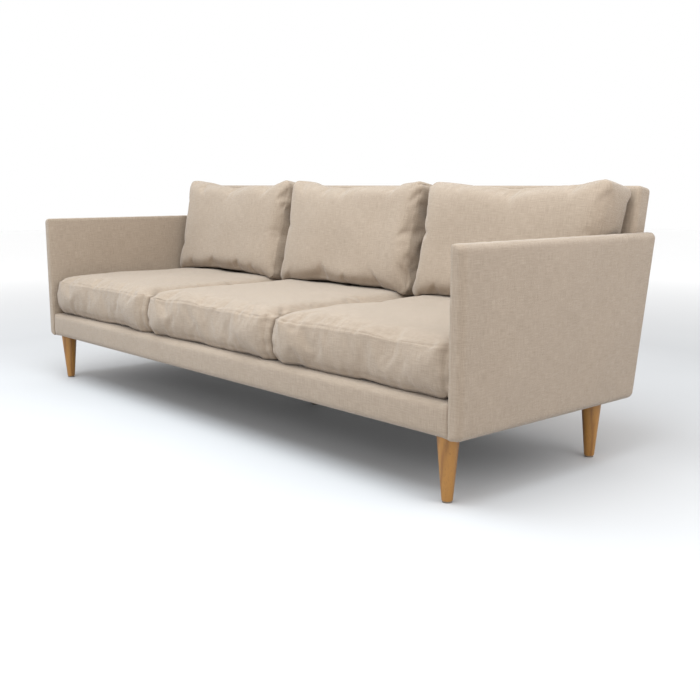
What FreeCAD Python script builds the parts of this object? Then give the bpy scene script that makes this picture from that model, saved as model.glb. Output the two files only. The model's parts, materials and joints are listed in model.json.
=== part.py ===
"""Three-seat sofa with thin upholstered arms, loose cushions and tapered wooden legs.

Frame: X runs along the sofa (positive to the right of someone who faces its front),
the front faces -Y, Z is up. The origin is on the floor, under the middle of the sofa.
"""
import FreeCAD, Part
import math
import os
import Sketcher

V = FreeCAD.Vector

# The driving dimensions, in millimetres and degrees, each a named cell of the sheet.
SIZES = {
    "sofa_width": 2340,
    "sofa_depth": 890,
    "arm_height": 670,
    "back_height": 800,
    "floor_gap": 180,
    "rake": 10,
    "arm_thick": 42,
    "back_thick": 66,
    "soft_edge": 14,
    "cloth": 1.5,
    "arm_board": 18,
    "board": 25,
    "post_wide": 45,
    "post_deep": 34,
    "back_foam": 22.5,
    "rear_wadding": 4.5,
    "top_foam": 22.5,
    "end_foam": 6.5,
    "webbing": 2,
    "web_wide": 50,
    "web_step": 82,
    "web_start": 110,
    "web_count": 6,
    "back_rail": 74,
    "back_end_gap": 0.3,
    "rail_recess": 4,
    "rail_foam": 9,
    "rail_edge": 16,
    "frame_low": 184,
    "frame_top": 258,
    "clip_tall": 8,
    "clip_wide": 20,
    "clip_inset": 3,
    "felt": 4,
    "deck_gap": 0.5,
    "dust_thick": 1,
    "wire_radius": 1.9,
    "spring_pitch": 172,
    "spring_count": 13,
    "loop_radius": 12,
    "loop_run": 22,
    "base_back": 270,
    "stretcher_wide": 45,
    "stretcher_tall": 60,
    "block_leg": 75,
    "leg_inset_x": 81,
    "leg_inset_y": 49,
    "rear_leg_y": 235,
    "leg_top_radius": 30.5,
    "leg_foot_radius": 15,
    "leg_ease": 2,
    "glide_tall": 4,
    "glide_radius": 13,
    "foot_radius": 22,
    "foot_flange": 34,
    "foot_flange_tall": 8,
    "foot_taper": 4,
    "middle_foot_y": 60,
    "plate_side": 60,
    "plate_thick": 2.5,
    "bolt_radius": 4,
    "bolt_down": 32,
    "bolt_up": 30,
    "screw_radius": 2,
    "screw_head": 4,
    "screw_head_tall": 1.2,
    "screw_long": 18,
    "screw_spread": 22,
    "arm_bolt_z": 221,
    "arm_bolt_front": -300,
    "arm_bolt_middle": -80,
    "arm_bolt_rear": 150,
    "bolt_end_gap": 2,
    "post_bolt_up": 300,
    "bolt_head": 7,
    "bolt_head_tall": 6,
    "seat_pitch": 752,
    "side_gap": 2,
    "seat_gap": 3,
    "seat_low": 273,
    "seat_high": 425,
    "seat_edge": 22,
    "zip_long": 620,
    "zip_wide": 24,
    "coil_wide": 5,
    "coil_tall": 2,
    "slider_gap": 0.4,
    "slider_long": 12,
    "slider_skin": 1.2,
    "slider_start": 6,
    "slot_ease": 1,
    "tab_long": 20,
    "tab_wide": 6,
    "tab_thick": 1,
    "tab_drop": 2,
    "back_cushion_low": 428,
    "back_cushion_high": 834,
    "back_cushion_front": 140,
    "cushion_rake": 13,
    "back_gap": 9,
    "back_edge": 34,
    "back_zip_up": 60,
}

doc = FreeCAD.newDocument("sofa")
NODES = []


def make_sheet():
    """Write the driving dimensions and the few sizes that follow from them."""
    sheet = doc.addObject("Spreadsheet::Sheet", "sizes")
    derived = {
        "inside": "=sofa_width - 2 * arm_thick",
        "front": "=-sofa_depth / 2",
        "back_long": "=(back_height - floor_gap - soft_edge - soft_edge * sin(rake * 1deg))"
                     " / cos(rake * 1deg) + soft_edge",
        "back_foot": "=sofa_depth / 2 - (back_long - soft_edge) * sin(rake * 1deg)"
                     " - soft_edge * (1 - cos(rake * 1deg))",
        "inner_foot": "=back_foot - back_thick / cos(rake * 1deg)",
        "seat_rear": "=inner_foot + (seat_low - floor_gap) * tan(rake * 1deg) - seat_gap",
        "cushion_wide": "=seat_pitch - 2 * side_gap",
    }
    rows = list(SIZES.items()) + list(derived.items())
    for row, (name, value) in enumerate(rows, 1):
        sheet.set(f"A{row}", name)
        sheet.set(f"B{row}", str(value))
        sheet.setAlias(f"B{row}", name)
    doc.recompute()
    return sheet


sheet = make_sheet()


def size(name):
    """The value of one cell of the sheet."""
    return float(sheet.get(name))


def bind(thing, **expressions):
    """Bind properties to expressions in which $NAME is a cell of the sheet."""
    for key, text in expressions.items():
        thing.setExpression(key.replace("__", "."), str(text).replace("$", "sizes."))
    return thing


def place(thing, at, turn=None, axis=(1, 0, 0)):
    """Bind the placement: at is three expressions, turn an angle expression about axis."""
    if turn is not None:
        thing.Placement = FreeCAD.Placement(V(), FreeCAD.Rotation(V(*axis), 1))
        bind(thing, Placement__Rotation__Angle=turn)
    for key, text in zip("xyz", at):
        bind(thing, **{f"Placement__Base__{key}": text})
    return thing


def raked(across, out, up):
    """A place in the raked frame of the back: out is measured forward from its rear face."""
    turn = "$rake * 1deg"
    y = f"$back_foot - ({out}) * cos({turn}) + ({up}) * sin({turn})"
    z = f"$floor_gap + ({out}) * sin({turn}) + ({up}) * cos({turn})"
    return across, y, z


def box(name, low, span):
    """A box from its low corner, both as expressions."""
    solid = doc.addObject("Part::Box", name)
    bind(solid, Length=span[0], Width=span[1], Height=span[2])
    return place(solid, low)


def raked_box(name, low, span):
    """A box that leans with the back: low is (x, forward of the rear face, up), span positive."""
    x, out, up = low
    solid = doc.addObject("Part::Box", name)
    bind(solid, Length=span[0], Width=span[1], Height=span[2])
    return place(solid, raked(x, f"({out}) + ({span[1]})", up), "-$rake")


def rod(name, low, radius, long, axis="z"):
    """A cylinder from the centre of its first face, along +Z or +X."""
    solid = doc.addObject("Part::Cylinder", name)
    bind(solid, Radius=radius, Height=long)
    if axis == "x":
        return place(solid, low, "90", (0, 1, 0))
    return place(solid, low)


def fuse(name, parts):
    joined = doc.addObject("Part::MultiFuse", name)
    joined.Shapes = parts
    return joined


def group(name, parts):
    """Identical solids that stay separate."""
    together = doc.addObject("Part::Compound", name)
    together.Links = parts
    return together


def cut(name, base, tool):
    rest = doc.addObject("Part::Cut", name)
    rest.Base = base
    rest.Tool = tool
    return rest


def common(name, base, tool):
    shared = doc.addObject("Part::Common", name)
    shared.Base = base
    shared.Tool = tool
    return shared


def inset(name, source, depth):
    """The solid that is left inside a skin of the given depth."""
    inner = doc.addObject("Part::Offset", name)
    inner.Source = source
    doc.recompute()
    return bind(inner, Value=f"-({depth})")


def node(name, thing):
    """Give a finished sub-part the label that names its file."""
    thing.Label = name
    NODES.append(thing)
    return thing


def sketch_on(body, role, points):
    """A closed outline of straight lines, its corners bound to the sheet."""
    plane = next(f for f in body.Origin.OriginFeatures if f.Role == role)
    sketch = body.newObject("Sketcher::SketchObject", body.Name + "_sketch")
    sketch.AttachmentSupport = [(plane, "")]
    sketch.MapMode = "FlatFace"
    count = len(points)
    turns = [2 * math.pi * k / count for k in range(count)]
    first = [V(100 * math.cos(a), 100 * math.sin(a), 0) for a in turns]
    for k in range(count):
        sketch.addGeometry(Part.LineSegment(first[k], first[(k + 1) % count]), False)
    for k in range(count):
        sketch.addConstraint(Sketcher.Constraint("Coincident", k, 2, (k + 1) % count, 1))
    for k, point in enumerate(points):
        for kind, text, start in zip(("DistanceX", "DistanceY"), point, (first[k].x, first[k].y)):
            index = sketch.addConstraint(Sketcher.Constraint(kind, -1, 1, k, 1, start + 1))
            sketch.setExpression(f"Constraints[{index}]", text.replace("$", "sizes."))
    return sketch


def side_block(name, outline, wide, edge, centre="0"):
    """A block with the given side outline in (y, z) about X = centre, all edges rounded."""
    body = doc.addObject("PartDesign::Body", name)
    sketch = sketch_on(body, "YZ_Plane", outline)
    bind(sketch, AttachmentOffset__Base__z=centre)
    pad = body.newObject("PartDesign::Pad", name + "_pad")
    pad.Profile = sketch
    pad.SideType = "Symmetric"
    bind(pad, Length=wide)
    doc.recompute()
    if edge:
        soft = body.newObject("PartDesign::Fillet", name + "_soft")
        soft.Base = (pad, [""])
        soft.UseAllEdges = True
        bind(soft, Radius=edge)
        doc.recompute()
    return body


def rear_at(height, depth):
    """Y of the back's leaning rear face at a height, moved forward by a depth square to it."""
    lean = f"(({height}) - $floor_gap) * tan($rake * 1deg)"
    return f"$back_foot + {lean} - ({depth}) / cos($rake * 1deg)"


def arm_outline(depth):
    """The side view of an arm, a given depth inside its skin."""
    low = f"$floor_gap + ({depth})"
    high = f"$arm_height - ({depth})"
    return [
        (f"$front + ({depth})", low),
        (rear_at(low, depth), low),
        (rear_at(high, depth), high),
        (f"$front + ({depth})", high),
    ]


def make_hardware():
    """Bolts and screws: they are tools for the holes too, so they are made first."""
    hardware = {}
    ends = [(side, y) for side in (1, -1) for y in ("$front + $leg_inset_y", "$rear_leg_y")]
    leg_x = "($sofa_width / 2 - $leg_inset_x)"
    spots = [(f"{side} * {leg_x}", y) for side, y in ends]
    foot = ("0", "$middle_foot_y")
    bolts = [
        rod(f"hanger_bolt_{k}", (x, y, "$floor_gap - $bolt_down"), "$bolt_radius",
            "$bolt_down + $bolt_up")
        for k, (x, y) in enumerate(spots + [foot])
    ]
    hardware["spots"] = spots
    hardware["foot"] = foot
    hardware["leg_bolts"] = node("leg_bolts", group("leg_bolts", bolts))

    screws = []
    for k, (x, y) in enumerate(spots):
        for j, (dx, dy) in enumerate(((1, 1), (1, -1), (-1, 1), (-1, -1))):
            at_x = f"{x} + {dx} * $screw_spread"
            at_y = f"{y} + {dy} * $screw_spread"
            shank = rod(f"screw_shank_{k}_{j}", (at_x, at_y, "$frame_low - $plate_thick"),
                        "$screw_radius", "$screw_long")
            head = rod(f"screw_head_{k}_{j}", (at_x, at_y, "$frame_low - $plate_thick"),
                       "$screw_head", "$screw_head_tall")
            screws.append(fuse(f"screw_{k}_{j}", [shank, head]))
    hardware["plate_screws"] = node("plate_screws", group("plate_screws", screws))

    arm_bolts = []
    rows = [(f"$arm_bolt_{part}", "$arm_bolt_z") for part in ("front", "middle", "rear")]
    rows.append(raked("0", "$rear_wadding + $cloth + $post_deep / 2", "$post_bolt_up")[1:])
    for side, tag in ((1, "right"), (-1, "left")):
        for k, (y, z) in enumerate(rows):
            inner = "$inside / 2 - $board" if k < 3 else \
                "$inside / 2 - $cloth - $end_foam - $post_wide"
            tip = "$inside / 2 + $arm_thick / 2 + $arm_board / 2 - $bolt_end_gap"
            if side > 0:
                shank_x, head_x = inner, f"{inner} - $bolt_head_tall"
            else:
                shank_x, head_x = f"-({tip})", f"-({inner})"
            shank = rod(f"arm_shank_{tag}_{k}", (shank_x, y, z), "$bolt_radius",
                        f"{tip} - ({inner})", "x")
            head = rod(f"arm_head_{tag}_{k}", (head_x, y, z), "$bolt_head",
                       "$bolt_head_tall", "x")
            arm_bolts.append(fuse(f"arm_bolt_{tag}_{k}", [shank, head]))
    hardware["arm_bolts"] = node("arm_bolts", group("arm_bolts", arm_bolts))
    return hardware


def make_arms(hardware):
    """Each arm is a plywood board inside foam inside a sewn cover, bolted to the seat frame."""
    hollow = "($arm_thick - $arm_board) / 2"
    for side, tag in ((1, "right"), (-1, "left")):
        centre = f"{side} * ($sofa_width - $arm_thick) / 2"
        outer = side_block(f"arm_outer_{tag}", arm_outline("0"), "$arm_thick", "$soft_edge", centre)
        board = side_block(f"arm_board_{tag}", arm_outline(hollow), "$arm_board", None, centre)
        foam = inset(f"arm_foam_{tag}", outer, "$cloth")
        skin = cut(f"arm_skin_{tag}", outer, foam)
        ring = cut(f"arm_ring_{tag}", foam, board)
        bolts = hardware["arm_bolts"]
        node(f"arm_panel_{tag}", cut(f"arm_panel_{tag}", board, bolts))
        node(f"arm_pad_{tag}", cut(f"arm_pad_{tag}", ring, bolts))
        node(f"arm_cover_{tag}", cut(f"arm_cover_{tag}", skin, bolts))


def make_seat_frame(hardware):
    """The box frame under the seat, with its corner blocks, springs and deck."""
    screws = hardware["plate_screws"]
    bolts = hardware["leg_bolts"]
    tall = "$frame_top - $frame_low"
    half = "$inside / 2"
    front_face = "$front + $rail_recess + $cloth + $rail_foam"
    front_back = f"({front_face} + $board)"
    rear_face = "$base_back - $board"

    front = box("front_board", (f"-({half})", front_face, "$frame_low"), ("$inside", "$board", tall))
    node("front_rail", cut("front_rail", front, screws))
    rear = box("rear_board", (f"-({half})", rear_face, "$frame_low"), ("$inside", "$board", tall))
    node("rear_seat_rail", cut("rear_seat_rail", rear, screws))

    run = f"{rear_face} - {front_back}"
    sides = [
        box(f"side_board_{k}", (x, front_back, "$frame_low"), ("$board", run, tall))
        for k, x in enumerate((f"{half} - $board", f"-({half})"))
    ]
    drilled = cut("side_drilled", group("side_boards", sides), hardware["arm_bolts"])
    node("side_rails", cut("side_rails", drilled, screws))

    ribs = [
        box(f"stretcher_{k}", (f"{k} * $seat_pitch - $stretcher_wide / 2", front_back, "$frame_low"),
            ("$stretcher_wide", run, "$stretcher_tall"))
        for k in (-1, 0, 1)
    ]
    node("seat_stretchers", cut("seat_stretchers", group("stretchers", ribs), bolts))

    # one triangular block per inner corner, glued into it above the leg
    blocks = []
    for k, (side, y, way) in enumerate(((1, front_back, 1), (1, rear_face, -1),
                                        (-1, front_back, 1), (-1, rear_face, -1))):
        x = f"{side} * ({half} - $board)"
        body = doc.addObject("PartDesign::Body", f"block_{k}")
        sketch = sketch_on(body, "XY_Plane", [
            (x, y), (f"{x} - {side} * $block_leg", y), (x, f"{y} + {way} * $block_leg")])
        pad = body.newObject("PartDesign::Pad", f"block_{k}_pad")
        pad.Profile = sketch
        bind(pad, Length=tall)
        blocks.append(place(body, ("0", "0", "$frame_low")))
    bored = cut("blocks_bored", group("blocks", blocks), bolts)
    node("corner_blocks", cut("corner_blocks", bored, screws))

    make_springs(front_face, front_back, rear_face)

    deck_low = "$frame_top + $clip_tall"
    rear_edge = "$inner_foot + ($frame_top + $clip_tall - $floor_gap) * tan($rake * 1deg)"
    deep = f"{rear_edge} - $deck_gap - {front_back}"
    node("deck_felt", box("deck_felt", (f"-({half})", front_back, deck_low),
                          ("$inside", deep, "$felt")))
    node("deck_cover", box("deck_cover", (f"-({half})", front_back, f"{deck_low} + $felt"),
                           ("$inside", deep, "$cloth")))
    sheet_box = box("dust_sheet", (f"-({half})", front_back, "$floor_gap"),
                    ("$inside", f"$base_back - {front_back}", "$dust_thick"))
    node("dust_cover", cut("dust_cover", sheet_box, bolts))

    # the padded front rail: a cover and foam wrapped round the front board
    high = f"{deck_low} + $felt + $cloth"
    outline = [("$front + $rail_recess", "$floor_gap"), (front_back, "$floor_gap"),
               (front_back, high), ("$front + $rail_recess", high)]
    body = doc.addObject("PartDesign::Body", "rail_outer")
    sketch = sketch_on(body, "YZ_Plane", outline)
    pad = body.newObject("PartDesign::Pad", "rail_outer_pad")
    pad.Profile = sketch
    pad.SideType = "Symmetric"
    bind(pad, Length="$inside")
    doc.recompute()
    face_y = size("front") + size("rail_recess")
    long_edges = [
        f"Edge{k}" for k, edge in enumerate(pad.Shape.Edges, 1)
        if edge.Length > size("inside") - 1 and abs(edge.Vertexes[0].Y - face_y) < 1e-3
    ]
    soft = body.newObject("PartDesign::Fillet", "rail_outer_soft")
    soft.Base = (pad, long_edges)
    bind(soft, Radius="$rail_edge")
    doc.recompute()
    core = box("rail_core", (f"-({half})", front_face, "$floor_gap + $cloth"),
               ("$inside", "$board", f"{deck_low} - $floor_gap - $cloth"))
    foam = common("rail_foam_outer", inset("rail_inner", body, "$cloth"),
                  box("rail_reach", (f"-({half})", "$front", "$floor_gap + $cloth"),
                      ("$inside", f"{front_back} - $front", f"{high} - $floor_gap - 2 * $cloth")))
    hollow = fuse("rail_hollow", [foam, core])
    node("rail_pad", cut("rail_pad", foam, core))
    node("rail_cover", cut("rail_cover", body, hollow))


def make_springs(front_face, front_back, rear_face):
    """Sinuous wire springs from the front rail to the rear one, each end in a clip.

    The round wire is kept as a hexagon, which is enough for its size and its weight.
    """
    radius = size("wire_radius")
    loop = size("loop_radius")
    run = size("loop_run")
    start = size("front") + size("rail_recess") + size("cloth") + size("rail_foam") + size("board") / 2
    end = size("base_back") - size("board") / 2
    height = size("frame_top") + size("clip_tall") / 2
    rows = int((end - start) / (2 * loop))
    step = (end - start) / rows
    count = int(size("spring_count"))

    def wire_path():
        """Cross runs joined by half-circles, turning left and right in turn."""
        edges = []
        for k in range(rows + 1):
            y = start + k * step
            way = 1 if k % 2 == 0 else -1
            low, high = V(-way * run, y, height), V(way * run, y, height)
            edges.append(Part.LineSegment(low, high).toShape())
            if k < rows:
                middle = V(way * (run + step / 2), y + step / 2, height)
                edges.append(Part.Arc(high, middle, V(way * run, y + step, height)).toShape())
        return Part.Wire(edges)

    path = wire_path()
    turns = [math.radians(60 * k) for k in range(7)]
    corners = [V(-run, start + radius * math.cos(a), height + radius * math.sin(a)) for a in turns]
    ring = Part.makePolygon(corners)
    one = path.makePipeShell([ring], True, False)
    springs = []
    for k in range(count):
        x = (k - (count - 1) / 2) * size("spring_pitch")
        springs.append(one.translated(V(x, 0, 0)))
    feature = doc.addObject("Part::Feature", "seat_springs")
    feature.Shape = Part.makeCompound(springs)
    node("seat_springs", feature)

    clips = []
    holes = []
    for k in range(count):
        x = f"({k} - ($spring_count - 1) / 2) * $spring_pitch"
        for end_name, face in (("front", front_face), ("rear", rear_face)):
            tag = f"{end_name}_{k}"
            low = (f"{x} - $clip_wide / 2", f"{face} + $clip_inset", "$frame_top")
            span = ("$clip_wide", "$board - 2 * $clip_inset", "$clip_tall")
            clips.append(box(f"clip_{tag}", low, span))
            holes.append(rod(f"clip_hole_{tag}", (f"{x} - $clip_wide", f"{face} + $board / 2",
                                                  "$frame_top + $clip_tall / 2"),
                             "$wire_radius", "2 * $clip_wide", "x"))
    node("spring_clips", cut("spring_clips", group("clips", clips), group("clip_holes", holes)))


def make_back(hardware):
    """The leaning back: posts and rails, webbing, foam, and a cover in two panels."""
    bolts = hardware["arm_bolts"]
    corners = [("$back_thick", "0"), ("0", "0"), ("0", "$back_long"), ("$back_thick", "$back_long")]
    outline = [raked("0", out, up)[1:] for out, up in corners]
    outer = side_block("back_outer", outline, "$inside - 2 * $back_end_gap", "$soft_edge")
    foam = inset("back_inner", outer, "$cloth")
    shell = cut("back_shell", outer, foam)
    rear_zone = raked_box("back_rear_zone", ("-$inside / 2", "-1", "-1"),
                          ("$inside", "$soft_edge + 2", "$back_long + 2"))
    node("outside_back_cover", common("outside_back_cover", shell, rear_zone))
    front_shell = cut("back_front_shell", shell, rear_zone)
    node("inside_back_cover", cut("inside_back_cover", front_shell, bolts))

    wide = "($inside - 2 * ($back_end_gap + $cloth + $end_foam))"
    frame_out = "$cloth + $rear_wadding"
    low = "$cloth + $rear_wadding"
    tall = f"($back_long - $cloth - $top_foam - ({low}))"
    cavity = raked_box("back_cavity", (f"-{wide} / 2", frame_out, low),
                       (wide, "$post_deep + $webbing", tall))
    wadding_zone = raked_box("wadding_zone", ("-$inside / 2", "0", "-1"),
                             ("$inside", "$cloth + $rear_wadding", "$back_long + 2"))
    node("back_wadding", common("back_wadding", foam, wadding_zone))
    padding = cut("back_padding", cut("back_padding_full", foam, wadding_zone), cavity)
    node("back_pad", cut("back_pad", padding, bolts))

    rail = "$back_rail"
    node("back_lower_rail", raked_box("back_lower_rail", (f"-{wide} / 2", frame_out, low),
                                      (wide, "$post_deep", rail)))
    top_up = f"{low} + {tall} - {rail}"
    node("back_top_rail", raked_box("back_top_rail", (f"-{wide} / 2", frame_out, top_up),
                                    (wide, "$post_deep", rail)))
    gap = f"(({wide} - 4 * $post_wide) / 3)"
    post_up = f"{low} + {rail}"
    posts = [
        raked_box(f"back_post_{k}", (f"-{wide} / 2 + {k} * ({gap} + $post_wide)", frame_out, post_up),
                  ("$post_wide", "$post_deep", f"{tall} - 2 * {rail}"))
        for k in range(4)
    ]
    node("back_posts", cut("back_posts", group("posts", posts), bolts))
    bands = [
        raked_box(f"band_{k}", (f"-{wide} / 2", f"{frame_out} + $post_deep",
                                f"$web_start + {k} * $web_step"), (wide, "$webbing", "$web_wide"))
        for k in range(int(size("web_count")))
    ]
    node("back_webbing", group("back_webbing", bands))


def turned(name, profile, at):
    """A solid of revolution about the vertical axis through a point, from (radius, z) corners."""
    body = doc.addObject("PartDesign::Body", name)
    sketch = sketch_on(body, "XZ_Plane", profile)
    turn = body.newObject("PartDesign::Revolution", name + "_turn")
    turn.Profile = sketch
    turn.ReferenceAxis = (sketch, ["V_Axis"])
    turn.Angle = 360
    return place(body, at)


def make_legs(hardware):
    """Turned, tapered wooden legs on hanger bolts, each with a steel plate and a glide."""
    names = ("leg_front_right", "leg_rear_right", "leg_front_left", "leg_rear_left")
    glides = []
    plates = []
    for name, (x, y) in zip(names, hardware["spots"]):
        profile = [
            ("0", "$glide_tall"),
            ("$leg_foot_radius - $leg_ease", "$glide_tall"),
            ("$leg_foot_radius", "$glide_tall + $leg_ease"),
            ("$leg_top_radius", "$floor_gap - $leg_ease"),
            ("$leg_top_radius - $leg_ease", "$floor_gap"),
            ("0", "$floor_gap"),
        ]
        blank = turned(name + "_blank", profile, (x, y, "0"))
        node(name, cut(name, blank, hardware["leg_bolts"]))
        glides.append(rod(name + "_glide", (x, y, "0"), "$glide_radius", "$glide_tall"))
        plates.append(box(name + "_plate", (f"{x} - $plate_side / 2", f"{y} - $plate_side / 2",
                                            "$frame_low - $plate_thick"),
                          ("$plate_side", "$plate_side", "$plate_thick")))
    foot_x, foot_y = hardware["foot"]
    glides.append(rod("foot_glide", (foot_x, foot_y, "0"), "$glide_radius", "$glide_tall"))
    node("leg_glides", group("leg_glides", glides))
    drilled = cut("plates_bored", group("plates", plates), hardware["leg_bolts"])
    node("leg_plates", cut("leg_plates", drilled, hardware["plate_screws"]))

    profile = [
        ("0", "$glide_tall"),
        ("$foot_radius - $foot_taper", "$glide_tall"),
        ("$foot_radius", "$floor_gap - $foot_flange_tall"),
        ("$foot_flange", "$floor_gap - $foot_flange_tall"),
        ("$foot_flange", "$floor_gap"),
        ("0", "$floor_gap"),
    ]
    blank = turned("foot_blank", profile, (foot_x, foot_y, "0"))
    node("centre_foot", cut("centre_foot", blank, hardware["leg_bolts"]))


def zip_and_slider(tag, make, at_x, face, up):
    """A zip tape with its coil, and the slider that rides on the coil.

    make builds a box from (x, forward, up) and a span in the plane of the cushion's rear
    face. face is how far forward the outer side of the cover lies.
    """
    tape = make(f"{tag}_tape", (f"{at_x} - $zip_long / 2", face, up),
                ("$zip_long", "$cloth", "$zip_wide"))
    coil_up = f"{up} + ($zip_wide - $coil_wide) / 2"
    coil = make(f"{tag}_coil", (f"{at_x} - $zip_long / 2", f"{face} - $coil_tall", coil_up),
                ("$zip_long", "$coil_tall", "$coil_wide"))
    node(f"{tag}_zip", fuse(f"{tag}_zip", [tape, coil]))

    start = f"{at_x} - $zip_long / 2 + $slider_start"
    room = "$slider_gap"
    deep = "$coil_tall + $slider_skin"
    wide = f"$coil_wide + 2 * {room} + 2 * $slider_skin"
    shoe_up = f"{up} + ($zip_wide - ({wide})) / 2"
    shoe = make(f"{tag}_shoe", (start, f"{face} - ({room}) - ({deep})", shoe_up),
                ("$slider_long", deep, wide))
    slot = make(f"{tag}_slot", (f"{start} - $slot_ease", f"{face} - $coil_tall - {room}",
                                 f"{coil_up} - {room}"),
                ("$slider_long + 2 * $slot_ease", "$coil_tall + $slot_ease",
                 f"$coil_wide + 2 * {room}"))
    tab_out = f"{face} - {room} - ({deep}) - $tab_thick"
    tab_up = f"{shoe_up} + ({wide}) - $tab_long - $tab_drop"
    tab = make(f"{tag}_tab", (f"{start} + ($slider_long - $tab_wide) / 2", tab_out, tab_up),
               ("$tab_wide", "$tab_thick", "$tab_long"))
    block = cut(f"{tag}_block", shoe, slot)
    node(f"{tag}_slider", fuse(f"{tag}_slider", [block, tab]))
    return tape


def upright_box(name, low, span):
    """A box behind the seat cushion: low is (x, forward of the cushion's rear face, up)."""
    x, out, up = low
    return box(name, (x, f"$seat_rear - ({out}) - ({span[1]})", up), span)


def make_cushions():
    """Three boxed seat cushions and three loose back cushions, each cover over a filling."""
    for k, tag in ((-1, "left"), (0, "middle"), (1, "right")):
        centre = f"{k} * $seat_pitch"
        outline = [("$front", "$seat_low"), ("$seat_rear", "$seat_low"),
                   ("$seat_rear", "$seat_high"), ("$front", "$seat_high")]
        outer = side_block(f"seat_outer_{tag}", outline, "$cushion_wide", "$seat_edge", centre)
        core = node(f"seat_core_{tag}", inset(f"seat_core_{tag}", outer, "$cloth"))
        skin = cut(f"seat_skin_{tag}", outer, core)
        zip_up = "($seat_low + $seat_high - $zip_wide) / 2"
        tape = zip_and_slider(f"seat_{tag}", upright_box, centre, "0", zip_up)
        node(f"seat_cover_{tag}", cut(f"seat_cover_{tag}", skin, tape))

        # the rear face lies along the back, the front face leans a little more
        behind = "$back_thick + $back_gap"
        low_rear = rear_at("$back_cushion_low", behind)
        high_rear = rear_at("$back_cushion_high", behind)
        lean = "($back_cushion_high - $back_cushion_low) * tan($cushion_rake * 1deg)"
        outline = [("$back_cushion_front", "$back_cushion_low"), (low_rear, "$back_cushion_low"),
                   (high_rear, "$back_cushion_high"),
                   (f"$back_cushion_front + {lean}", "$back_cushion_high")]
        outer = side_block(f"back_cushion_outer_{tag}", outline, "$cushion_wide", "$back_edge",
                           centre)
        fill = node(f"back_fill_{tag}", inset(f"back_fill_{tag}", outer, "$cloth"))
        skin = cut(f"back_cushion_skin_{tag}", outer, fill)
        above = "($back_cushion_low - $floor_gap) / cos($rake * 1deg)"
        tape = zip_and_slider(f"back_{tag}", raked_box, centre, behind, f"{above} + $back_zip_up")
        node(f"back_cover_{tag}", cut(f"back_cover_{tag}", skin, tape))


def check_and_write():
    """Refuse a failed feature or a bad solid, then write one STEP file per sub-part."""
    doc.recompute()
    for thing in doc.Objects:
        if "Invalid" in thing.State or "Error" in thing.State:
            raise RuntimeError(f"{thing.Label} did not recompute: {thing.State}")
    os.makedirs("parts", exist_ok=True)
    for thing in NODES:
        shape = thing.Shape
        if shape.isNull() or not shape.isValid() or not shape.Solids:
            raise RuntimeError(f"{thing.Label} is not a valid solid")
        shape.exportStep(f"parts/{thing.Label}.step")
        bounds = shape.BoundBox
        print(f"{thing.Label}: {len(shape.Solids)} solids, {shape.Volume / 1e6:.3f} l, "
              f"x {bounds.XMin:.1f}..{bounds.XMax:.1f} y {bounds.YMin:.1f}..{bounds.YMax:.1f} "
              f"z {bounds.ZMin:.1f}..{bounds.ZMax:.1f}")
    print(len(NODES), "nodes")


hardware = make_hardware()
make_arms(hardware)
make_seat_frame(hardware)
make_back(hardware)
make_legs(hardware)
make_cushions()
check_and_write()
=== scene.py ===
"""Looks of a three-seat sofa: soft cushions, padded arms, rail and back in plain-woven linen,
turned oak legs, and the small hardware, built around the packed frame.

Everything is in metres: X along the sofa, the front towards -Y, Z up, the floor at Z = 0.
"""
import functools
import json
import math

import bpy  # noqa: E402
import numpy as np  # noqa: E402
from bpy.props import (  # noqa: E402
    FloatProperty,
    FloatVectorProperty,
    IntProperty,
    PointerProperty,
)
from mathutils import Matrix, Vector  # noqa: E402

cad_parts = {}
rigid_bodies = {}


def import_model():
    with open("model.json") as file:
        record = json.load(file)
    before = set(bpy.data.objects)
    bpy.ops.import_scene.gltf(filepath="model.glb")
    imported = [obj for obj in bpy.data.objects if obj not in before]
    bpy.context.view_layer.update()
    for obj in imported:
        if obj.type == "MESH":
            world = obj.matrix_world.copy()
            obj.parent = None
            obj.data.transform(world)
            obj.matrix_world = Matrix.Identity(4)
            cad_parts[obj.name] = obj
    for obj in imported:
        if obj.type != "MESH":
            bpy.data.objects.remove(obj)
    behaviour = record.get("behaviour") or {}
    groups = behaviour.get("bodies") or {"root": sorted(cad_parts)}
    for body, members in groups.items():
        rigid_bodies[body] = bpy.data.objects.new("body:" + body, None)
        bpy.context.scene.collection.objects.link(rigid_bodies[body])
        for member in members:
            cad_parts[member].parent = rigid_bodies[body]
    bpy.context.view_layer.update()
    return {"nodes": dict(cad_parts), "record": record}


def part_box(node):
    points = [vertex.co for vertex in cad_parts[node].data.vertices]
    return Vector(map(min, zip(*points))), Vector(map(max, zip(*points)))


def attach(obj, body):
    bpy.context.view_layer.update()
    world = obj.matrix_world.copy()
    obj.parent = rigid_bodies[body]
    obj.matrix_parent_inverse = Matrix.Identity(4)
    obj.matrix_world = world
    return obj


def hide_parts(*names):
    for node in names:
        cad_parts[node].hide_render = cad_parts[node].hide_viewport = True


bl_info = {
    "name": "Linen sofa",
    "version": (1, 0, 0),
    "blender": (4, 5, 0),
    "location": "3D View > Sidebar > Sofa",
    "description": "Builds the soft and visible pieces of a three-seat sofa around its frame",
    "category": "Object",
}

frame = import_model()

SIDES = ("left", "middle", "right")
ENDS = ("left", "right")
RAKE = math.radians(10)            # lean of the back frame
CUSHION_LEAN = math.radians(11.5)  # lean of a back cushion's middle plane
BACK_THICK = 0.066                 # the padded back, from front to rear
FLOOR_GAP = 0.180                  # from the floor to the foot of the frame
CUSHION_HALF = 0.3756              # half the width that one cushion may fill
ON_FACE = 1e-9                     # a point nearer than this to a face lies on it


# ---------------------------------------------------------------- settings

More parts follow.
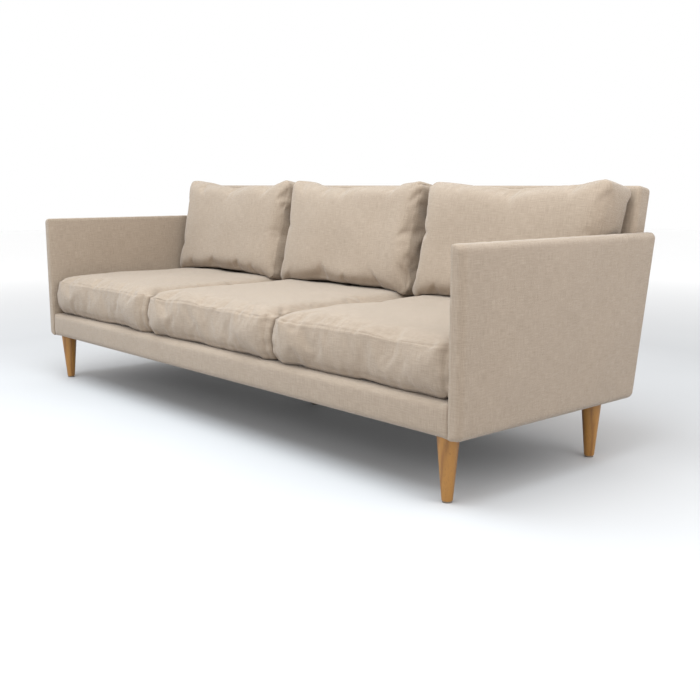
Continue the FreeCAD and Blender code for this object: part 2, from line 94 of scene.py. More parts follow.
class CushionSettings(bpy.types.PropertyGroup):
    """How full the cushions are and how finely they are made."""
    step: FloatProperty(
        name="Grid step", description="Distance between the lines of a cushion's grid",
        default=0.010, min=0.004, max=0.03, subtype="DISTANCE", unit="LENGTH")
    seat_pressure: FloatProperty(
        name="Seat pressure", description="Pressure that swells a seat cushion",
        default=4.5, min=0.0, max=20.0)
    back_pressure: FloatProperty(
        name="Back pressure", description="Pressure that swells a back cushion",
        default=5.0, min=0.0, max=20.0)
    seat_growth: FloatProperty(
        name="Seat growth", description="Share by which the seat cushion's cloth is cut larger",
        default=0.012, min=0.0, max=0.1, subtype="FACTOR")
    back_growth: FloatProperty(
        name="Back growth", description="Share by which the back cushion's cloth is cut larger",
        default=0.012, min=0.0, max=0.1, subtype="FACTOR")
    frames: IntProperty(
        name="Frames", description="Length of the cloth simulation", default=20, min=1, max=60)
    seat_cap: FloatProperty(
        name="Seat cap", description="The furthest that a point of a seat cushion may move",
        default=0.030, min=0.0, max=0.06, subtype="DISTANCE", unit="LENGTH")
    back_cap: FloatProperty(
        name="Back cap", description="The furthest that a point of a back cushion may move",
        default=0.036, min=0.0, max=0.08, subtype="DISTANCE", unit="LENGTH")


class ClothColours(bpy.types.PropertyGroup):
    """Colours of the upholstery, as linear RGB, and the size of its yarn."""
    pale: FloatVectorProperty(
        name="Pale yarn", description="The lighter yarn of the linen",
        default=(0.440, 0.353, 0.272), min=0.0, max=1.0, size=3, subtype="COLOR")
    dark: FloatVectorProperty(
        name="Dark yarn", description="The darker yarn of the linen",
        default=(0.304, 0.238, 0.178), min=0.0, max=1.0, size=3, subtype="COLOR")
    yarn: FloatProperty(
        name="Yarn", description="Distance between two yarns", default=0.0011,
        min=0.0003, max=0.005, subtype="DISTANCE", unit="LENGTH", precision=5)


class WoodColours(bpy.types.PropertyGroup):
    """Colours of the oiled oak legs, as linear RGB."""
    pale: FloatVectorProperty(
        name="Early wood", description="The lighter bands of the grain",
        default=(0.375, 0.172, 0.031), min=0.0, max=1.0, size=3, subtype="COLOR")
    dark: FloatVectorProperty(
        name="Late wood", description="The darker bands of the grain",
        default=(0.20, 0.078, 0.012), min=0.0, max=1.0, size=3, subtype="COLOR")


class StageSettings(bpy.types.PropertyGroup):
    """The camera and the light."""
    camera_place: FloatVectorProperty(
        name="Camera", description="Where the camera stands", default=(2.68, -2.145, 0.81),
        size=3, subtype="TRANSLATION", unit="LENGTH")
    heading: FloatProperty(
        name="Heading", description="Turn of the view from +Y towards -X",
        default=math.radians(48.4), subtype="ANGLE", unit="ROTATION")
    tilt: FloatProperty(
        name="Tilt", description="How far the view looks down",
        default=math.radians(9.9), subtype="ANGLE", unit="ROTATION")
    lens: FloatProperty(
        name="Focal length", description="Focal length on a 36 mm sensor", default=48.7,
        min=10.0, max=200.0, unit="CAMERA")


# ---------------------------------------------------------------- surfaces

def lengths(vectors):
    """The length of each row, kept just above nothing so that it can be divided by."""
    return np.maximum(np.linalg.norm(vectors, axis=1, keepdims=True), 1e-12)


def lines(length, step, near):
    """Places along one edge of a block: the given ones near both ends, even steps between."""
    near = np.asarray(near, float)
    count = max(2, round((length - 2 * near[-1]) / step))
    middle = np.linspace(near[-1], length - near[-1], count + 1)
    return np.concatenate([near[:-1], middle, (length - near[:-1])[::-1]])


class Block:
    """The skin of a lattice of lines along X, Y and Z, as points, quads and cloth coordinates.

    Each of the six sides is a two-parameter grid, and neighbouring sides share their edge points.
    The cloth coordinates of a side are its two lengths in metres, so a weave has its true size,
    and a shift for each side starts its weave somewhere else.
    """
    axis_shift, end_shift = 0.37, 0.19

    def __init__(self, xs, ys, zs):
        self.span = np.array([xs[-1], ys[-1], zs[-1]])
        shape = (len(xs), len(ys), len(zs))
        on_skin = np.zeros(shape, bool)
        for axis in range(3):
            for end in (0, -1):
                np.moveaxis(on_skin, axis, 0)[end] = True
        index = np.full(shape, -1)
        index[on_skin] = np.arange(on_skin.sum())
        self.points = np.stack(np.meshgrid(xs, ys, zs, indexing="ij"), -1)[on_skin]
        quads, coords = [], []
        for axis in range(3):
            along = [k for k in range(3) if k != axis]
            for end in (0, -1):
                side = np.moveaxis(index, axis, 0)[end]
                corners = [side[:-1, :-1], side[1:, :-1], side[1:, 1:], side[:-1, 1:]]
                if (end == 0) != (axis == 1):
                    corners.reverse()
                quad = np.stack(corners, -1).reshape(-1, 4)
                quads.append(quad)
                coords.append(self.points[quad][..., along] + self.axis_shift * axis
                              + self.end_shift * (end + 1))
        self.quads = np.concatenate(quads)
        self.coords = np.concatenate(coords).reshape(-1, 2)

    def seam_distance(self, axis, high, drop=0.0):
        """Distance over the skin, before shaping, to the loop round one side of the block that
        lies a given drop away from that side's edge."""
        gap = np.minimum(self.points, self.span - self.points)
        away = (self.span[axis] - self.points[:, axis]) if high else self.points[:, axis]
        others = [k for k in range(3) if k != axis]
        inward = np.min(gap[:, others], 1)
        return np.where(away < ON_FACE, inward + drop, np.abs(away - drop))

    def run_along(self, axis):
        """Length round the block, before shaping, in the plane across an axis."""
        first, second = [k for k in range(3) if k != axis]
        return self.points[:, first] - self.points[:, second]


def normals_of(points, quads):
    """Unit normal at each point: the sum of the cross products of its quads' diagonals."""
    across = points[quads[:, 2]] - points[quads[:, 0]]
    other = points[quads[:, 3]] - points[quads[:, 1]]
    cross = np.cross(across, other)
    total = np.zeros_like(points)
    for corner in range(4):
        np.add.at(total, quads[:, corner], cross)
    return total / lengths(total)


def waves(places, wavelength, seed, count=5):
    """A smooth, repeatable wander between about -1 and 1: a sum of sine waves whose directions,
    lengths and phases are drawn from a seeded generator."""
    draw = np.random.default_rng(seed)
    places = np.atleast_2d(places.T).T
    total = np.zeros(len(places))
    for _ in range(count):
        heading = draw.normal(size=places.shape[1])
        heading /= np.linalg.norm(heading)
        pitch = wavelength * draw.uniform(0.7, 1.5)
        total += np.sin(2 * math.pi * (places @ heading) / pitch + draw.uniform(0, 2 * math.pi))
    return total / math.sqrt(count)


def round_plan(points, span, axes, radius):
    """Round the four corners of a block seen along one axis: in each corner square, lengths from
    the square's inner corner are scaled so that the square's outline becomes a quarter circle."""
    shaped = points.copy()
    half = span[list(axes)] / 2
    flat = points[:, axes] - half
    over = np.maximum(np.abs(flat) - (half - radius), 0)
    longest = np.max(over, 1, keepdims=True)
    inner = np.minimum(np.abs(flat), half - radius)
    shaped[:, axes] = np.sign(flat) * (inner + over * longest / lengths(over)) + half
    return shaped


def round_edges(points, span, radius):
    """Round every edge of a block: a point keeps its nearest place in the block shrunk by the
    radius, plus the radius along the line between the two. The radius may differ by point."""
    radius = np.broadcast_to(np.asarray(radius, float), (len(points),))[:, None]
    inner = np.clip(points, radius, span - radius)
    away = points - inner
    return inner + away / lengths(away) * radius


def ease_below(value, limit, room):
    """The value where it is well under the limit, and a smooth approach to the limit above."""
    excess = np.maximum(value - (limit - room), 0)
    return np.where(value > limit - room, limit - room * np.exp(-excess / room), value)


def ease_above(value, limit, room):
    """The value where it is well over the limit, and a smooth approach to the limit below."""
    return -ease_below(-value, -np.asarray(limit), room)


def press_between(points, centre, room):
    """Press a cushion between its neighbours: X eased into the width that one cushion may fill."""
    points[:, 0] = centre + ease_below(points[:, 0] - centre, CUSHION_HALF, room)
    points[:, 0] = centre + ease_above(points[:, 0] - centre, -CUSHION_HALF, room)
    return points


def bell(distance, width):
    """1 at no distance, falling off smoothly to almost nothing at twice the width."""
    return np.exp(-(distance / width) ** 2)


def dome(shares, power):
    """1 in the middle of a face and 0 at its edges, from the shares of the way across it. The
    higher the power, the wider the flat middle."""
    return np.prod(1 - np.abs(2 * shares - 1) ** power, axis=1)


def new_mesh(name, points, quads):
    """A mesh of quads from arrays."""
    mesh = bpy.data.meshes.new(name)
    mesh.from_pydata(points.tolist(), [], quads.tolist())
    return mesh


def add_object(name, data):
    """A new object in the scene, at the origin."""
    made = bpy.data.objects.new(name, data)
    bpy.context.scene.collection.objects.link(made)
    return made


def make_piece(name, points, quads, coords, material, body, smooth=True):
    """A finished mesh object at the origin, with its cloth coordinates in the map called weave."""
    mesh = new_mesh(name, points, quads)
    if coords is not None:
        mesh.uv_layers.new(name="weave").data.foreach_set("uv", coords.astype(np.float32).ravel())
    if smooth:
        mesh.shade_smooth()
    mesh.materials.append(material)
    piece = add_object(name, mesh)
    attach(piece, body)
    return piece


def refine(piece, levels=1):
    """Smooth a finished piece by subdivision, the same in the view and in the render."""
    finer = piece.modifiers.new("Smooth", "SUBSURF")
    finer.levels = levels
    finer.render_levels = levels


# ---------------------------------------------------------------- cloth simulation

def swell(points, quads, pressure, growth, frames, cap):
    """Swell a closed skin like a filled cover: cloth with inner pressure and no gravity, run for
    a few frames. A point's move is eased so that it never passes the cap."""
    mesh = new_mesh("swelling", points, quads)
    skin = add_object("swelling", mesh)
    scene = bpy.context.scene
    cloth = skin.modifiers.new("Cloth", "CLOTH")
    settings = cloth.settings
    settings.quality = 6
    settings.mass = 0.3
    settings.air_damping = 3.0
    settings.tension_stiffness = 30
    settings.compression_stiffness = 20
    settings.shear_stiffness = 12
    settings.bending_stiffness = 0.6
    settings.use_pressure = True
    settings.uniform_pressure_force = pressure
    settings.shrink_min = -growth
    settings.effector_weights.gravity = 0
    cloth.point_cache.frame_start = 1
    cloth.point_cache.frame_end = frames
    for step in range(1, frames + 1):
        scene.frame_set(step)
    grown = skin.evaluated_get(bpy.context.evaluated_depsgraph_get())
    moved = np.empty(len(points) * 3, np.float32)
    grown.data.vertices.foreach_get("co", moved)
    bpy.data.objects.remove(skin)
    bpy.data.meshes.remove(mesh)
    scene.frame_set(1)
    shift = moved.reshape(-1, 3).astype(float) - points
    length = lengths(shift)
    return points + shift / length * cap * np.tanh(length / cap)


def stir(block, points, seed):
    """Move a block's skin in and out by a slow wander, so that no two cushions swell alike."""
    depth, pitch = 0.0022, 0.24
    normal = normals_of(points, block.quads)
    return points + depth * normal * waves(points, pitch, seed + 5)[:, None]


def sew(block, points, axis, high, seed, depth=0.0016, pucker=0.0011, drop=0.0):
    """Draw a seam round one side of a block: a groove with a low ridge on each side of it, and
    small puckers that run out of it and fade."""
    distance = block.seam_distance(axis, high, drop)
    along = block.run_along(axis)
    normal = normals_of(points, block.quads)
    groove_wide, ridge_at, ridge_wide, ridge_share = 0.0022, 0.006, 0.003, 0.45
    pucker_pitch, pucker_reach = 0.045, 0.022
    groove = (-depth * bell(distance, groove_wide)
              + ridge_share * depth * bell(distance - ridge_at, ridge_wide))
    ripple = pucker * waves(along, pucker_pitch, seed) * np.exp(-distance / pucker_reach)
    return points + normal * (groove + ripple)[:, None]


# ---------------------------------------------------------------- materials

WHITE = (1.0, 1.0, 1.0)


class Value:
    """One output of a shader node. Arithmetic on it adds Math nodes to its material."""

    def __init__(self, paint, socket):
        self.paint = paint
        self.socket = socket

    def _with(self, operation, first, second):
        """The result of a new Math node on two values or numbers."""
        node = self.paint.node("ShaderNodeMath", {"operation": operation}, first, second)
        return Value(self.paint, node.outputs[0])

    def __add__(self, other):
        return self._with("ADD", self, other)

    __radd__ = __add__

    def __mul__(self, other):
        return self._with("MULTIPLY", self, other)

    __rmul__ = __mul__

    def __sub__(self, other):
        return self._with("SUBTRACT", self, other)

    def __rsub__(self, other):
        return self._with("SUBTRACT", other, self)

    def __truediv__(self, other):
        return self._with("DIVIDE", self, other)

    def __pow__(self, other):
        return self._with("POWER", self, other)

    def apply(self, operation, other=0.0):
        """Any other operation of the Math node."""
        return self._with(operation, self, other)

    def held(self):
        """The value, held between 0 and 1."""
        return self.apply("MAXIMUM", 0.0).apply("MINIMUM", 1.0)

    def wave(self):
        """The sine of the value, moved to run between 0 and 1."""
        return self.apply("SINE") * 0.5 + 0.5


class Paint:
    """A material and the nodes that make it."""

    def __init__(self, name, **constants):
        self.material = bpy.data.materials.new(name)
        self.material.use_nodes = True
        self.tree = self.material.node_tree
        self.shader = next(n for n in self.tree.nodes if n.type == "BSDF_PRINCIPLED")
        for key, value in constants.items():
            self.shader.inputs[key.replace("_", " ")].default_value = value

    def node(self, kind, settings=None, *values, **named):
        """A node with its settings, then the values or links of its inputs by place or name."""
        node = self.tree.nodes.new(kind)
        for key, value in (settings or {}).items():
            if key == "stops":
                ramp = node.color_ramp
                while len(ramp.elements) < len(value):
                    ramp.elements.new(0.5)
                for element, (place, colour) in zip(ramp.elements, value):
                    element.position = place
                    element.color = (*colour, 1)
            else:
                setattr(node, key, value)
        pairs = [(node.inputs[k], v) for k, v in enumerate(values)]
        pairs += [(node.inputs[k.replace("_", " ")], v) for k, v in named.items()]
        for socket, value in pairs:
            self.feed(socket, value)
        return node

    def feed(self, socket, value):
        """Link a value to an input, or set the input to a number or a colour."""
        if isinstance(value, Value):
            self.tree.links.new(value.socket, socket)
        elif hasattr(value, "__len__") and len(value) == 3 and socket.type == "RGBA":
            socket.default_value = (*value, 1)
        else:
            socket.default_value = value

    def out(self, node, name=0):
        """An output of a node, as a value."""
        return Value(self, node.outputs[name])

    def place(self, source="Object"):
        """Position on the piece: Object for the sofa's own axes, UV for the run of the cloth."""
        if source == "UV":
            return self.out(self.node("ShaderNodeUVMap", {"uv_map": "weave"}))
        return self.out(self.node("ShaderNodeTexCoord"), source)

    def parts(self, vector):
        """The three numbers of a vector."""
        split = self.node("ShaderNodeSeparateXYZ", None, vector)
        return [Value(self, split.outputs[k]) for k in range(3)]

    def stretch(self, vector, scale):
        """A vector times a scale for each axis, which stretches the pattern that it drives."""
        node = self.node("ShaderNodeVectorMath", {"operation": "MULTIPLY"}, vector, scale)
        return self.out(node)

    def noise(self, vector, scale=1.0, detail=2.0, rough=0.5):
        """Soft noise between 0 and 1, at so many patches to the metre."""
        node = self.node("ShaderNodeTexNoise", None, Vector=vector, Scale=scale, Detail=detail,
                         Roughness=rough)
        return self.out(node, "Fac")

    def mix(self, share, first, second, blend="MIX"):
        """One colour over another by a share, blended as the Mix node's blend type says."""
        node = self.node("ShaderNodeMix", {"data_type": "RGBA", "blend_type": blend})
        self.feed(node.inputs["Factor"], share)
        colours = [s for s in node.inputs if s.type == "RGBA"]
        self.feed(colours[0], first)
        self.feed(colours[1], second)
        return Value(self, next(s for s in node.outputs if s.type == "RGBA"))

    def ramp(self, share, stops):
        """Colours in turn as the share grows, each at its own stop."""
        return self.out(self.node("ShaderNodeValToRGB", {"stops": stops}, share))

    def colour(self, value):
        """Give the surface its colour."""
        self.feed(self.shader.inputs["Base Color"], value)

    def rough(self, value):
        """Give the surface its roughness."""
        self.feed(self.shader.inputs["Roughness"], value)

    def bump(self, height, distance, strength=1.0):
        """Relief in the surface, from a height between 0 and 1 that stands for a distance."""
        node = self.node("ShaderNodeBump", None, Strength=strength, Distance=distance,
                         Height=height)
        self.tree.links.new(node.outputs["Normal"], self.shader.inputs["Normal"])


def shade(colour, factor):
    """A colour made darker or paler."""
    return tuple(min(1.0, c * factor) for c in colour)


def woven(name, pale, dark, yarn, source="UV"):
    """Plain weave: warp and weft go over and under in turn, each yarn has its own tone, thick
    slubs run along both, and a slow drift takes the evenness out of it."""
    paint = Paint(name, Roughness=0.92, Sheen_Weight=0.25, Sheen_Roughness=0.45,
                  Specular_IOR_Level=0.25)
    place = paint.place(source)
    across, along, up = paint.parts(place)
    if source == "Object":
        along = along + up
    warp = across / yarn
    weft = along / yarn
    over = (warp * math.pi).apply("SINE") * (weft * math.pi).apply("SINE")
    height = over.apply("ABSOLUTE") ** 0.6
    per_yarn, per_slub = 0.45 / yarn, 28.0
    warp_tone = paint.noise(paint.stretch(place, (per_yarn, per_slub, per_slub)))
    weft_tone = paint.noise(paint.stretch(place, (per_slub, per_yarn, per_yarn)))
    on_top = (over * 4.0 + 0.5).held()
    tone = warp_tone * on_top + weft_tone * (1 - on_top)
    drift = paint.noise(place, 9.0, 3.0)
    share = ((tone - 0.5) * 2.5 + 0.5 + (drift - 0.5) * 0.3).held()
    cloth = paint.mix(share, dark, pale)
    shadow = paint.mix(height, shade(dark, 0.72), WHITE)
    paint.colour(paint.mix(0.35, cloth, shadow, "MULTIPLY"))
    paint.rough(0.86 + (1 - height) * 0.1)
    paint.bump(height + tone * 1.5, 0.0005, 0.55)
    return paint.material


def oiled_oak(colours):
    """Oak cut along the leg: long wavy bands, short dark pores, and a thin oil finish."""
    paint = Paint("oak_legs", Coat_Weight=0.12, Coat_Roughness=0.3)
    place = paint.place()
    wander = paint.noise(paint.stretch(place, (9, 9, 2.2)), 1.0, 3.0)
    fine = paint.noise(paint.stretch(place, (120, 120, 5)), 1.0, 3.0)
    across, along, _ = paint.parts(place)
    rings = ((across * 0.8 + along * 0.6) * 260 + wander * 26).wave()
    share = (rings ** 1.6) * 0.55 + fine * 0.5
    pores = paint.noise(paint.stretch(place, (900, 900, 45)))
    dots = ((pores - 0.60) * 9.0).held()
    wood = paint.ramp(share, [(0.05, colours.pale), (0.5, shade(colours.pale, 0.82)),
                              (0.95, colours.dark)])
    paint.colour(paint.mix(dots * 0.65, wood, shade(colours.dark, 0.45)))
    paint.rough(0.36 + fine * 0.16)
    paint.bump(0.6 - dots * 0.5 + fine * 0.4, 0.0004, 0.4)
    return paint.material


def sawn_wood(name, pale, dark, stretch):
    """Plain sawn timber: soft bands along one direction under a dry, rough surface."""
    paint = Paint(name, Roughness=0.7)
    place = paint.place()
    grain = paint.noise(paint.stretch(place, stretch), 1.0, 4.0, 0.6)
    paint.colour(paint.ramp(grain, [(0.3, pale), (0.55, shade(pale, 0.85)), (0.75, dark)]))
    paint.rough(0.6 + grain * 0.25)
    paint.bump(grain, 0.0006, 0.5)
    return paint.material


def plywood():
    """Birch plywood: thin plies stacked along X, faces with a long quiet grain."""
    paint = Paint("birch_plywood", Roughness=0.6)
    place = paint.place()
    across, _, _ = paint.parts(place)
    ply = 0.0015
    plies = (across * (math.pi / ply)).wave()
    grain = paint.noise(paint.stretch(place, (60, 6, 90)), 1.0, 4.0)
    paint.colour(paint.mix(plies * 0.5 + grain * 0.4, (0.66, 0.47, 0.28), (0.42, 0.26, 0.13)))
    paint.rough(0.5 + grain * 0.2)
    paint.bump(grain, 0.0004, 0.4)
    return paint.material


def foam(name, colour):
    """Open-cell foam or felt: fine pits of mixed size and a slow change of tone."""
    paint = Paint(name, Roughness=0.95)
    place = paint.place()
    cells = paint.out(paint.node("ShaderNodeTexVoronoi", None, Vector=place, Scale=420.0))
    drift = paint.noise(place, 12.0, 3.0)
    paint.colour(paint.mix(cells * 0.8 + drift * 0.4, shade(colour, 0.8), colour))
    paint.rough(0.88 + drift * 0.1)
    paint.bump(cells, 0.0008, 0.6)
    return paint.material


def plated_steel(name, colour, rough):
    """Metal with faint cloudiness and fine scratches."""
    paint = Paint(name, Metallic=0.95)
    place = paint.place()
    clouds = paint.noise(place, 60.0, 4.0)
    scratch = paint.noise(paint.stretch(place, (300, 900, 2500)))
    paint.colour(paint.mix(clouds, shade(colour, 0.75), colour))
    paint.rough(rough + clouds * 0.15 + scratch * 0.08)
    paint.bump(scratch, 0.0001, 0.3)
    return paint.material


def moulded(name, colour):
    """Matt moulded plastic with a fine grain."""
    paint = Paint(name, Specular_IOR_Level=0.4)
    place = paint.place()
    grain = paint.noise(place, 900.0)
    drift = paint.noise(place, 20.0)
    paint.colour(paint.mix(drift, shade(colour, 0.8), shade(colour, 1.2)))
    paint.rough(0.5 + grain * 0.25)
    paint.bump(grain, 0.0002, 0.5)
    return paint.material


def bonded_cloth(name, colour):
    """Thin bonded cloth: a dense mat of short fibres with a grid of pressed points."""
    paint = Paint(name, Roughness=0.9)
    place = paint.place()
    across, along, _ = paint.parts(place)
    points = (across * 1500).apply("SINE") * (along * 1500).apply("SINE")
    fibres = paint.noise(paint.stretch(place, (500, 220, 400)), 1.0, 4.0, 0.7)
    paint.colour(paint.mix(fibres, shade(colour, 0.6), shade(colour, 1.6)))
    paint.rough(0.8 + fibres * 0.15)
    paint.bump(points * 0.5 + fibres, 0.0004, 0.5)
    return paint.material


def zip_cloth(name, colour):
    """Zip tape and coil: fine ribs across its length."""
    paint = Paint(name, Roughness=0.7)
    place = paint.place()
    across, _, up = paint.parts(place)
    tooth, rib = 0.0018, 0.0012
    ribs = (across * (2 * math.pi / tooth)).wave()
    twill = ((across + up) * (2 * math.pi / rib)).wave()
    paint.colour(paint.mix(ribs * 0.6 + twill * 0.4, shade(colour, 0.65), colour))
    paint.rough(0.6 + twill * 0.2)
    paint.bump(ribs + twill * 0.4, 0.0005, 0.8)
    return paint.material


class Palette:
    """The sofa's materials, made once and shared by every piece."""

    def __init__(self, cloth, wood):
        pale, dark = tuple(cloth.pale), tuple(cloth.dark)
        self.linen = woven("linen", pale, dark, cloth.yarn)
        self.platform = woven("platform_cloth", shade(pale, 0.85), shade(dark, 0.85),
                              cloth.yarn * 1.4)
        self.webbing = woven("elastic_webbing", (0.30, 0.25, 0.19), (0.17, 0.13, 0.10), 0.0022,
                             "Object")
        self.oak = oiled_oak(wood)
        pine = (0.66, 0.46, 0.26), (0.42, 0.25, 0.12)
        self.timber = sawn_wood("pine_frame", *pine, (2, 60, 60))
        self.posts = sawn_wood("pine_posts", *pine, (60, 60, 3))
        self.cross = sawn_wood("pine_stretchers", *pine, (60, 2, 60))
        self.plywood = plywood()
        self.foam = foam("seat_foam", (0.86, 0.80, 0.62))
        self.felt = foam("grey_felt", (0.33, 0.32, 0.30))
        self.glide = foam("felt_glides", (0.22, 0.18, 0.14))
        self.zinc = plated_steel("zinc_plated_steel", (0.62, 0.62, 0.60), 0.30)
        self.spring = plated_steel("spring_steel", (0.16, 0.16, 0.17), 0.38)
        self.brass = plated_steel("zip_metal", (0.50, 0.42, 0.28), 0.25)
        self.black = moulded("black_plastic", (0.03, 0.03, 0.03))
        self.dust = bonded_cloth("dust_cloth", (0.030, 0.030, 0.031))
        self.zips = zip_cloth("zip_tape", (0.40, 0.32, 0.25))


@functools.cache
def paints():
    """The palette, made on first use."""
    scene = bpy.context.scene
    return Palette(scene.sofa_cloth, scene.sofa_wood)


# ---------------------------------------------------------------- cushions

NEAR_SEAM = (0.0, 0.003, 0.007, 0.013, 0.021)


def seat_cushion(side, settings, seed):
    """A boxed seat cushion: a block with rounded upright corners, swelled, then pressed against
    the deck, its neighbours and the back, and sewn along the top and bottom of its band."""
    low, high = np.array(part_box(f"seat_cover_{side}"))
    slack = np.array([0.003, 0.008, 0.018])  # room that is left for the swelling
    span = high - low - slack
    lift, corner_radius, wander = 0.003, 0.044, 0.0022
    block = Block(*(lines(length, settings.step, NEAR_SEAM) for length in span))
    points = round_plan(block.points, block.span, (0, 1), corner_radius)
    centre = (low[0] + high[0]) / 2
    points += np.array([centre - span[0] / 2, low[1] + slack[1] / 2, low[2] + lift])
    points = stir(block, points, seed)
    points = swell(points, block.quads, settings.seat_pressure, settings.seat_growth,
                   settings.frames, settings.seat_cap)
    on_top = block.points[:, 2] / block.span[2] > 0.99
    points[:, 2] += wander * waves(block.points[:, :2], 0.45, seed) * on_top
    points = round_band(points, low)
    points = sew(block, points, 2, True, seed + 1, depth=0.0028)
    points = sew(block, points, 2, False, seed + 2, depth=0.0020, drop=0.013)
    points = press_between(points, centre, room=0.005)
    points = fold_corners(block, points, low, centre)
    points[:, 2] = ease_above(points[:, 2], low[2] - 0.0006, room=0.002)
    points[:, 1] = ease_below(points[:, 1], high[1] + 0.0010, room=0.003)
    zip_low, zip_high = np.array(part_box(f"seat_{side}_zip"))
    points = sink_zip(points, zip_low, zip_high, zip_low[1] - 0.0004, spread=0.008)
    piece = make_piece(f"seat_cushion_{side}", points, block.quads, block.coords, paints().linen,
                       f"seat_cushion_{side}")
    refine(piece)
    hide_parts(f"seat_cover_{side}", f"seat_core_{side}")


def round_band(points, low):
    """Round the front band of a seat cushion: it is full by a parabola over its height, and
    near its foot it leans in under itself with the square of the depth. Both fade out behind."""
    full, middle, half = 0.008, 0.080, 0.078
    tall, reach, depth = 0.055, 0.14, 0.014
    near = np.clip(1 - (points[:, 1] - low[1]) / reach, 0, 1)
    share = (points[:, 2] - low[2] - middle) / half
    below = np.clip((low[2] + tall - points[:, 2]) / tall, 0, 1)
    points[:, 1] += (depth * below ** 2 - full * np.clip(1 - share ** 2, 0, 1)) * near
    return points


def fold_corners(block, points, low, centre):
    """Turn the two front corners of a seat cushion on a quarter circle in plan, from the band's
    own front line at each height. A soft upright fold stands on the circle, and near the foot it
    draws out into a small pinched ear. At the top seam the corner is drawn down a little."""
    radius, sharpness, count = 0.046, 1.6, 24
    ear_up, ear_tall, ear_out = 0.024, 0.018, 0.008
    fold_out, seam_up, seam_down = 0.0045, 0.11, 0.004
    ear_turn, ridge_turn, hollow_turn, seam_turn = 0.85, 0.95, 0.50, 1.2
    gap = np.minimum(block.points, block.span - block.points)
    on_band = np.min(gap[:, :2], 1) < ON_FACE
    band = np.abs(points[:, 0] - centre) < 0.25
    edges = np.linspace(points[:, 2].min(), points[:, 2].max(), count + 1)
    bins = np.clip(np.digitize(points[band, 2], edges) - 1, 0, count - 1)
    line = np.full(count, points[:, 1].max())
    np.minimum.at(line, bins, points[band, 1])
    front = np.interp(points[:, 2], (edges[1:] + edges[:-1]) / 2, line)
    for way in (1, -1):
        over_x = np.maximum(way * (points[:, 0] - centre) - (CUSHION_HALF - radius), 0)
        over_y = np.maximum(front + radius - points[:, 1], 0)
        reach = np.maximum(np.hypot(over_x, over_y), ON_FACE)
        turn = np.arctan2(over_x, over_y)
        ear = ear_out * bell(points[:, 2] - low[2] - ear_up, ear_tall) * bell(turn - ear_turn, 0.35)
        fold = fold_out * bell(turn - ridge_turn, 0.17) - fold_out * bell(turn - hollow_turn, 0.20)
        limit = radius + fold + ear
        drawn = np.where(on_band | (reach > limit), np.clip(sharpness * np.sin(2 * turn), 0, 1), 0)
        at_corner = (over_x > 0) & (over_y > 0)
        scale = np.where(at_corner, 1 + drawn * (limit / reach - 1), 1.0)
        points[:, 0] += way * over_x * (scale - 1)
        points[:, 1] -= over_y * (scale - 1)
        notch = bell(reach - radius, 0.012) * bell(turn - seam_turn, 0.35) * (over_x * over_y > 0)
        points[:, 2] -= seam_down * notch * (points[:, 2] > low[2] + seam_up)
    return points


def sink_zip(points, low, high, plane, spread):
    """Sink a cushion's rear face to a plane behind its zip, fading out by a bell of the distance
    from the zip's own box."""
    middle = (low + high) / 2
    reach = np.maximum(np.abs(points - middle)[:, [0, 2]] - (high - low)[[0, 2]] / 2, 0)
    share = bell(np.linalg.norm(reach, axis=1), spread)
    sunk = np.minimum(points[:, 1], plane)
    at_rear = points[:, 1] > middle[1] - 0.06
    points[:, 1] = np.where(at_rear, points[:, 1] * (1 - share) + sunk * share, points[:, 1])
    return points


def back_cushion(side, settings, seed):
    """A loose back cushion: a slim block swelled much more than a seat cushion, then leaned
    against the back, stood on the seat and pressed against its neighbours."""
    low, high = np.array(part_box(f"back_cover_{side}"))
    centre = (low[0] + high[0]) / 2
    thick, tall, wide, corner_radius = 0.112, 0.418, 0.747, 0.030
    block = Block(lines(wide, settings.step, NEAR_SEAM), lines(thick, settings.step, NEAR_SEAM),
                  lines(tall, settings.step, NEAR_SEAM))
    points = round_plan(block.points, block.span, (0, 2), corner_radius)
    points -= np.array([wide / 2, thick / 2, 0.0])
    points = stir(block, points, seed)
    points = swell(points, block.quads, settings.back_pressure, settings.back_growth,
                   settings.frames, settings.back_cap)
    wander = 0.003
    on_front = block.points[:, 1] / block.span[1] < 0.01
    points[:, 1] += wander * waves(block.points[:, [0, 2]], 0.35, seed) * on_front
    for at_rear in (False, True):
        points = sew(block, points, 1, at_rear, seed + 1 + at_rear, depth=0.0014, pucker=0.0006)
    # lean it: up runs along the middle plane, depth across it
    sine, cosine = math.sin(CUSHION_LEAN), math.cos(CUSHION_LEAN)
    depth, up = points[:, 1].copy(), points[:, 2].copy()
    foot_y, foot_z = 0.226, low[2] - 0.016
    points[:, 1] = foot_y + up * sine + depth * cosine
    points[:, 2] = foot_z + up * cosine - depth * sine
    points[:, 0] += centre
    places, heights = seat_profile(side)
    seat = np.interp(points[:, 0], places, heights) + 0.0012
    points[:, 2] = ease_above(points[:, 2], seat, room=0.005)
    inner = back_plane(points[:, 2], BACK_THICK + 0.0050)
    points[:, 1] = ease_below(points[:, 1], inner, room=0.010)
    points = press_between(points, centre, room=0.006)
    sunk = back_plane(points[:, 2], BACK_THICK + 0.0110)
    points = sink_zip(points, *np.array(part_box(f"back_{side}_zip")), sunk, spread=0.010)
    piece = make_piece(f"back_cushion_{side}", points, block.quads, block.coords, paints().linen,
                       f"back_cushion_{side}")
    refine(piece)
    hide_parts(f"back_cover_{side}", f"back_fill_{side}")


